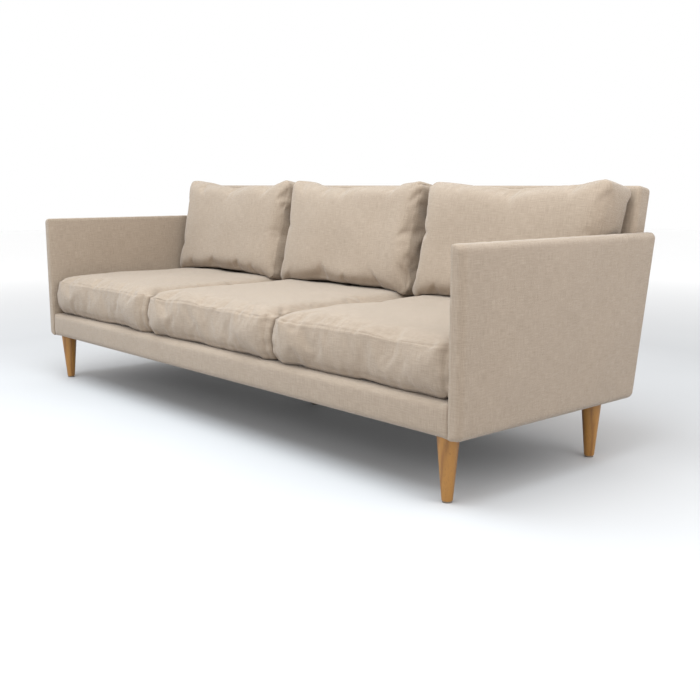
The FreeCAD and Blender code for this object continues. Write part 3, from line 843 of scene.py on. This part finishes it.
def seat_profile(side):
    """Height of a seat cushion's top along X under the back cushion: the highest point in each
    bin of X, averaged with its neighbours."""
    mesh = bpy.data.objects[f"seat_cushion_{side}"].data
    points = np.empty(len(mesh.vertices) * 3)
    mesh.vertices.foreach_get("co", points)
    points = points.reshape(-1, 3)
    front, rear, count = 0.12, 0.25, 38
    under = points[(points[:, 1] > front) & (points[:, 1] < rear)]
    edges = np.linspace(under[:, 0].min(), under[:, 0].max(), count + 1)
    bins = np.clip(np.digitize(under[:, 0], edges) - 1, 0, count - 1)
    tops = np.zeros(count)
    np.maximum.at(tops, bins, under[:, 2])
    padded = np.pad(tops, 1, mode="edge")
    smooth = np.maximum((padded[:-2] + padded[1:-1] + padded[2:]) / 3, tops - 0.0006)
    return (edges[1:] + edges[:-1]) / 2, smooth


def back_plane(height, out):
    """Y of the plane that lies a given distance forward of the back's rear face."""
    return back_foot() + (height - FLOOR_GAP) * math.tan(RAKE) - out / math.cos(RAKE)


def back_foot():
    """Y of the back's rear face at the height of the floor gap, from the box of its cover."""
    soft_edge = 0.014
    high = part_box("outside_back_cover")[1]
    top = high[2] - soft_edge
    return high[1] - soft_edge - (top - FLOOR_GAP) * math.tan(RAKE) + soft_edge / math.cos(RAKE)


# ---------------------------------------------------------------- fixed upholstery

NEAR_EDGE = (0.0, 0.002, 0.004, 0.007, 0.011, 0.016, 0.022)


def arm(side, step):
    """A thin padded arm: a rounded slab whose rear edge leans with the back. The outer panel
    wraps softly round the front and top, and is sewn to the inner panel at the inner edge."""
    low, high = np.array(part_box(f"arm_cover_{side}"))
    way = 1 if side == "right" else -1
    span = high - low
    block = Block(lines(span[0], step / 2, NEAR_EDGE[:5]), lines(span[1], step, NEAR_EDGE),
                  lines(span[2], step, NEAR_EDGE))
    outward = block.points[:, 0] / span[0] if way > 0 else 1 - block.points[:, 0] / span[0]
    inner_radius, outer_gain, puff, wander = 0.006, 0.013, 0.0015, 0.0009
    radius = inner_radius + outer_gain * outward ** 2 * (3 - 2 * outward)
    points = round_edges(block.points, span, radius)
    share = points / span
    swollen = dome(share[:, 1:], 6)
    drift = wander * waves(block.points[:, 1:], 0.30, 40 + way) * swollen
    points[:, 0] += puff * swollen * (2 * share[:, 0] - 1) + drift
    seam_in, seam_wide, ridge_in, ridge_wide = 0.004, 0.0018, 0.010, 0.004
    inner = block.seam_distance(0, way < 0)
    normal = normals_of(points, block.quads)
    groove = (-0.0013 * bell(inner - seam_in, seam_wide)
              + 0.0006 * bell(inner - ridge_in, ridge_wide))
    fade = 1 / (1 + np.exp((inner - 0.018) / 0.002))
    ripple = 0.0005 * waves(block.run_along(0), 0.05, 50 + way) * np.exp(-inner / 0.02)
    points += normal * (groove * fade + ripple)[:, None]
    lean = rear_shift(points[:, 2] + low[2], high[2])
    points[:, 1] *= (span[1] - lean) / span[1]
    points += low
    limit = abs(low[0]) if way > 0 else abs(high[0])
    points[:, 0] = way * ease_above(way * points[:, 0], limit - 0.0004, 0.0008)
    piece = make_piece(f"arm_{side}", points, block.quads, block.coords, paints().linen,
                       "sofa_frame")
    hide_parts(f"arm_cover_{side}", f"arm_pad_{side}")


def rear_shift(height, top):
    """How far an arm's leaning rear edge stands in from its rearmost point, by height."""
    return (top - height) * math.tan(RAKE)


def front_rail(step):
    """The padded front rail: a long bar with soft front edges and a face that is a little full,
    drawn in where it is sewn to the arms."""
    low, high = np.array(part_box("rail_cover"))
    span = high - low
    block = Block(lines(span[0], step, NEAR_EDGE), lines(span[1], 0.004, NEAR_EDGE[:4]),
                  lines(span[2], 0.005, NEAR_EDGE))
    forward = 1 - block.points[:, 1] / span[1]
    ends = np.minimum(block.points[:, 0], span[0] - block.points[:, 0])
    rear_radius, front_gain, fullness, drift = 0.0015, 0.0155, 0.0030, 0.0008
    radius = rear_radius + (front_gain * np.clip(forward * 1.6 - 0.3, 0, 1)
                            * np.clip(ends / 0.03, 0.35, 1))
    points = round_edges(block.points, span, radius)
    share = points / span
    face = bell(share[:, 1], 0.25)
    full = fullness * face * (1 - np.abs(2 * share[:, 2] - 1) ** 3)
    sewn = -fullness * face * np.exp(-ends / 0.010)
    wander = drift * face * waves(block.points[:, [0, 2]], 0.22, 60)
    ripple = drift * face * waves(block.points[:, 2], 0.03, 61) * np.exp(-ends / 0.03)
    points[:, 1] -= full + sewn + wander + ripple
    points += low
    piece = make_piece("front_rail_cover", points, block.quads, block.coords, paints().linen,
                       "sofa_frame")
    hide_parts("rail_cover", "rail_pad")


def lean_with_back(points):
    """Turn points given as (x, forward of the rear face, up) into the sofa's axes."""
    sine, cosine = math.sin(RAKE), math.cos(RAKE)
    base = back_foot()
    y = base - points[:, 1] * cosine + points[:, 2] * sine
    z = FLOOR_GAP + points[:, 1] * sine + points[:, 2] * cosine
    return np.stack([points[:, 0], y, z], 1)


def leaning_slab(name, span, start, radius, step, puff, seed, replaced):
    """A padded slab that leans with the back, its faces slightly full."""
    span = np.array(span)
    block = Block(lines(span[0], step, NEAR_EDGE), lines(span[1], 0.004, NEAR_EDGE[:2]),
                  lines(span[2], step, NEAR_EDGE))
    points = round_edges(block.points, span, radius)
    share = points / span
    swollen = dome(share[:, [0, 2]], 8)
    wander = 0.0010 * waves(block.points[:, [0, 2]], 0.40, seed)
    points[:, 1] += (puff * swollen + wander * swollen) * (2 * share[:, 1] - 1)
    points = lean_with_back(points + np.array(start))
    # the mapping turns the slab inside out, because forward is the other way from +Y
    quads = block.quads[:, ::-1]
    coords = block.coords.reshape(-1, 4, 2)[:, ::-1].reshape(-1, 2)
    piece = make_piece(name, points, quads, coords, paints().linen, "sofa_frame")
    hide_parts(*replaced)


def back_covers(step):
    """The back in two sewn panels: the inside one wraps over the top, the outside one is set
    into the rear with a seam all round."""
    low, high = np.array(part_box("inside_back_cover"))
    wide = high[0] - low[0]
    tall = 0.6276            # up the slope, from the foot of the frame to the top
    rim, outer = 0.011, 0.003
    leaning_slab("inside_back", (wide, BACK_THICK - outer, tall), (low[0], outer, 0.0),
                 radius=0.014, step=step, puff=0.0020, seed=70,
                 replaced=("inside_back_cover", "back_pad"))
    leaning_slab("outside_back", (wide - 2 * rim, 0.006, tall - 2 * rim),
                 (low[0] + rim, 0.0005, rim), radius=0.0028, step=step, puff=0.0, seed=71,
                 replaced=("outside_back_cover", "back_wadding"))


def deck(step):
    """The platform cloth over the springs: a thin sheet that dips a little between them."""
    low, high = np.array(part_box("deck_cover"))
    span = high - low
    block = Block(lines(span[0], step * 2, (0.0, 0.004)), lines(span[1], step * 2, (0.0, 0.004)),
                  np.array([0.0, span[2]]))
    points = block.points.copy()
    spring_pitch, sag = 0.172, 0.0004
    share = points / span
    ribs = np.cos(2 * math.pi * (points[:, 0] - span[0] / 2) / spring_pitch)
    points[:, 2] -= (sag + sag * ribs) * dome(share[:, :2], 4) * share[:, 2]
    points += low
    piece = make_piece("platform", points, block.quads, block.coords, paints().platform,
                       "sofa_frame")
    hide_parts("deck_cover")


def dust_sheet(step):
    """The thin cloth under the seat: held along its edges and at the middle foot, it sags
    between them by a product of arches, and a row of staples runs round its edge."""
    low, high = np.array(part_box("dust_cover"))
    span = high - low
    block = Block(lines(span[0], step * 2, (0.0, 0.006)), lines(span[1], step * 2, (0.0, 0.006)),
                  np.array([0.0, span[2]]))
    points = block.points.copy()
    foot_reach, sag, ripple = 0.16, 0.009, 0.0025
    foot_low, foot_high = np.array(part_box("centre_foot"))
    foot = (foot_low + foot_high)[:2] / 2 - low[:2]
    held = bell(np.linalg.norm(points[:, :2] - foot, axis=1), foot_reach)
    arch = dome(points[:, :2] / span[:2], 3) * (1 - held)
    points[:, 2] -= arch * (sag + ripple * waves(points[:, :2], 0.35, 80))
    sheet = make_piece("dust_sheet", points + low, block.quads, block.coords, paints().dust,
                       "sofa_frame")
    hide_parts("dust_cover")
    staples(low, high)


def staples(low, high):
    """Flat wire staples round the edge of the dust sheet: one small box repeated at even steps
    along each side, turned to lie along that side."""
    inset, pitch, size = 0.012, 0.055, np.array([0.010, 0.0012, 0.0006])
    bar = Block(*(np.array([0.0, length]) for length in size))
    middle = bar.points - np.array([*(size[:2] / 2), 0.0])
    corners, quads = [], []
    for axis in range(2):
        other = 1 - axis
        count = int((high[axis] - low[axis] - 2 * inset) / pitch)
        places = np.linspace(low[axis] + inset, high[axis] - inset, count + 1)
        for edge in (low[other] + inset, high[other] - inset):
            spots = np.zeros((count + 1, 1, 3))
            spots[:, 0, axis] = places
            spots[:, 0, other] = edge
            spots[:, 0, 2] = low[2] - size[2]
            turned = middle if axis == 0 else middle[:, [1, 0, 2]] * np.array([-1, 1, 1])
            start = sum(len(c) for c in corners)
            corners.append((spots + turned).reshape(-1, 3))
            quads.append((bar.quads + start
                          + len(bar.points) * np.arange(count + 1)[:, None, None]).reshape(-1, 4))
    make_piece("dust_sheet_staples", np.concatenate(corners), np.concatenate(quads), None,
               paints().zinc, "sofa_frame", smooth=False)


# ---------------------------------------------------------------- stage

def area_light(name, place, aim, size, power, colour):
    """A rectangular lamp that faces the point that it is aimed at."""
    light = bpy.data.lights.new(name, "AREA")
    light.shape = "RECTANGLE"
    light.size, light.size_y = size
    light.energy = power
    light.color = colour
    lamp = add_object(name, light)
    lamp.location = place
    lamp.rotation_mode = "QUATERNION"
    lamp.rotation_quaternion = (Vector(aim) - Vector(place)).to_track_quat("-Z", "Y")


def make_floor():
    """A wide pale floor as a grid of quads, just under the feet, painted paler far away: painted
    light where the lamps reach less.
    """
    reach, count, sunk, near_reach, fade = 14.0, 8, 0.0003, 2.2, 3.5
    places = np.linspace(-reach, reach, count + 1)
    x, y = np.meshgrid(places, places, indexing="ij")
    points = np.stack([x, y, np.full_like(x, -sunk)], -1).reshape(-1, 3)
    index = np.arange((count + 1) ** 2).reshape(count + 1, count + 1)
    quads = np.stack([index[:-1, :-1], index[1:, :-1], index[1:, 1:], index[:-1, 1:]], -1)
    mesh = new_mesh("floor", points, quads.reshape(-1, 4))
    paint = Paint("pale_floor", Roughness=0.75, Specular_IOR_Level=0.2)
    place = paint.place()
    across, along, _ = paint.parts(place)
    # painted light: the colour turns paler with distance from the sofa, standing in for lamp light
    # that the far floor does not get
    painted_light_share = (((across ** 2 + along ** 2) ** 0.5 - near_reach) / fade).held()
    drift = paint.noise(place, 1.5)
    near = paint.mix(drift, (0.53, 0.53, 0.535), (0.56, 0.56, 0.565))
    paint.colour(paint.mix(painted_light_share, near, (0.98, 0.98, 0.98)))
    mesh.materials.append(paint.material)
    floor = add_object("floor", mesh)


def make_camera(settings):
    """The scene's camera, turned by its heading and then tilted down."""
    data = bpy.data.cameras.new("camera")
    data.lens = settings.lens
    data.clip_start, data.clip_end = 0.05, 60.0
    camera = add_object("camera", data)
    camera.location = settings.camera_place
    turn, tilt = settings.heading, settings.tilt
    forward = Vector((-math.sin(turn) * math.cos(tilt), math.cos(turn) * math.cos(tilt),
                      -math.sin(tilt)))
    camera.rotation_mode = "QUATERNION"
    camera.rotation_quaternion = forward.to_track_quat("-Z", "Y")
    bpy.context.scene.camera = camera


# ---------------------------------------------------------------- operators

class SOFA_OT_stage(bpy.types.Operator):
    """Make the floor, the light and the camera"""
    bl_idname = "sofa.stage"
    bl_label = "Stage"

    def execute(self, context):
        make_floor()
        make_camera(context.scene.sofa_stage)
        area_light("overhead", place=(0.1, -0.9, 2.6), aim=(0, -0.1, 0.3), size=(3.6, 2.0),
                   power=96, colour=(0.86, 0.94, 1.0))
        area_light("front_fill", place=(1.2, -3.6, 2.1), aim=(0, 0, 0.5), size=(2.4, 1.6),
                   power=22, colour=WHITE)
        area_light("side_fill", place=(2.3, 0.0, 1.45), aim=(1.17, 0, 0.62), size=(1.2, 1.6),
                   power=12, colour=WHITE)
        world = bpy.data.worlds.new("studio")
        context.scene.world = world
        world.use_nodes = True
        back = world.node_tree.nodes["Background"]
        back.inputs["Color"].default_value = (*WHITE, 1.0)
        back.inputs["Strength"].default_value = 1.0
        context.scene.view_settings.view_transform = "Standard"
        return {"FINISHED"}


class SOFA_OT_seat_cushions(bpy.types.Operator):
    """Make the three boxed seat cushions"""
    bl_idname = "sofa.seat_cushions"
    bl_label = "Seat cushions"

    def execute(self, context):
        for seed, side in enumerate(SIDES):
            seat_cushion(side, context.scene.sofa_cushions, 10 * (seed + 1))
        return {"FINISHED"}


class SOFA_OT_back_cushions(bpy.types.Operator):
    """Make the three loose back cushions"""
    bl_idname = "sofa.back_cushions"
    bl_label = "Back cushions"

    def execute(self, context):
        for seed, side in enumerate(SIDES):
            back_cushion(side, context.scene.sofa_cushions, 10 * (seed + 1) + 100)
        return {"FINISHED"}


class SOFA_OT_arms(bpy.types.Operator):
    """Make the two padded arms"""
    bl_idname = "sofa.arms"
    bl_label = "Arms"

    def execute(self, context):
        for side in ENDS:
            arm(side, context.scene.sofa_cushions.step)
        return {"FINISHED"}


class SOFA_OT_rail(bpy.types.Operator):
    """Make the padded front rail"""
    bl_idname = "sofa.rail"
    bl_label = "Front rail"

    def execute(self, context):
        front_rail(context.scene.sofa_cushions.step)
        return {"FINISHED"}


class SOFA_OT_back(bpy.types.Operator):
    """Make the two panels of the padded back"""
    bl_idname = "sofa.back"
    bl_label = "Back panels"

    def execute(self, context):
        back_covers(context.scene.sofa_cushions.step)
        return {"FINISHED"}


class SOFA_OT_deck(bpy.types.Operator):
    """Make the platform cloth under the cushions"""
    bl_idname = "sofa.deck"
    bl_label = "Platform"

    def execute(self, context):
        deck(context.scene.sofa_cushions.step)
        return {"FINISHED"}


class SOFA_OT_underside(bpy.types.Operator):
    """Make the dust sheet under the seat and its staples"""
    bl_idname = "sofa.underside"
    bl_label = "Underside"

    def execute(self, context):
        dust_sheet(context.scene.sofa_cushions.step)
        return {"FINISHED"}


class SOFA_OT_finishes(bpy.types.Operator):
    """Give every piece that comes with the frame its finish"""
    bl_idname = "sofa.finishes"
    bl_label = "Finishes"

    def execute(self, context):
        made = paints()
        by_slot = {
            "linen": made.linen, "platform_cloth": made.platform, "foam": made.foam,
            "dust_cloth": made.dust, "webbing": made.webbing, "zip_tape": made.zips,
            "zip_metal": made.brass, "oak": made.oak, "frame_timber": made.timber,
            "plywood": made.plywood, "zinc_steel": made.zinc, "spring_steel": made.spring,
            "glide_felt": made.glide, "black_plastic": made.black,
        }
        by_node = {
            "back_posts": made.posts, "side_rails": made.cross, "seat_stretchers": made.cross,
            "deck_felt": made.felt, "back_wadding": made.felt,
        }
        for part in frame["record"]["subparts"]:
            name = part["node"]
            material = by_node.get(name, by_slot[part["material_slot"]])
            slots = frame["nodes"][name].material_slots
            if not slots:
                raise RuntimeError(f"{name} has no material slot to fill")
            for slot in slots:
                slot.material = material
        return {"FINISHED"}


class SOFA_PT_panel(bpy.types.Panel):
    """The sofa's pieces and settings"""
    bl_idname = "SOFA_PT_panel"
    bl_label = "Sofa"
    bl_space_type = "VIEW_3D"
    bl_region_type = "UI"
    bl_category = "Sofa"

    def draw(self, context):
        for operator in OPERATORS:
            self.layout.operator(operator.bl_idname)
        for name, group in SETTINGS.items():
            box = self.layout.box()
            box.label(text=group.__doc__)
            for key in group.__annotations__:
                box.prop(getattr(context.scene, name), key)


OPERATORS = (
    SOFA_OT_stage,
    SOFA_OT_seat_cushions,
    SOFA_OT_back_cushions,
    SOFA_OT_arms,
    SOFA_OT_rail,
    SOFA_OT_back,
    SOFA_OT_deck,
    SOFA_OT_underside,
    SOFA_OT_finishes,
)
SETTINGS = {
    "sofa_cushions": CushionSettings,
    "sofa_cloth": ClothColours,
    "sofa_wood": WoodColours,
    "sofa_stage": StageSettings,
}


def register():
    """Add the classes and put the settings on the scene."""
    for group in SETTINGS.values():
        bpy.utils.register_class(group)
    for kind in (*OPERATORS, SOFA_PT_panel):
        bpy.utils.register_class(kind)
    for name, group in SETTINGS.items():
        setattr(bpy.types.Scene, name, PointerProperty(type=group))


def unregister():
    """Take the settings and the classes away again."""
    for name in SETTINGS:
        delattr(bpy.types.Scene, name)
    for kind in (SOFA_PT_panel, *reversed(OPERATORS)):
        bpy.utils.unregister_class(kind)
    for group in SETTINGS.values():
        bpy.utils.unregister_class(group)


def main():
    """Build the sofa one operator after another."""
    register()
    bpy.ops.sofa.stage()
    bpy.ops.sofa.seat_cushions()
    bpy.ops.sofa.back_cushions()
    bpy.ops.sofa.arms()
    bpy.ops.sofa.rail()
    bpy.ops.sofa.back()
    bpy.ops.sofa.deck()
    bpy.ops.sofa.underside()
    bpy.ops.sofa.finishes()
    bpy.context.view_layer.update()


if __name__ == "__main__":
    main()
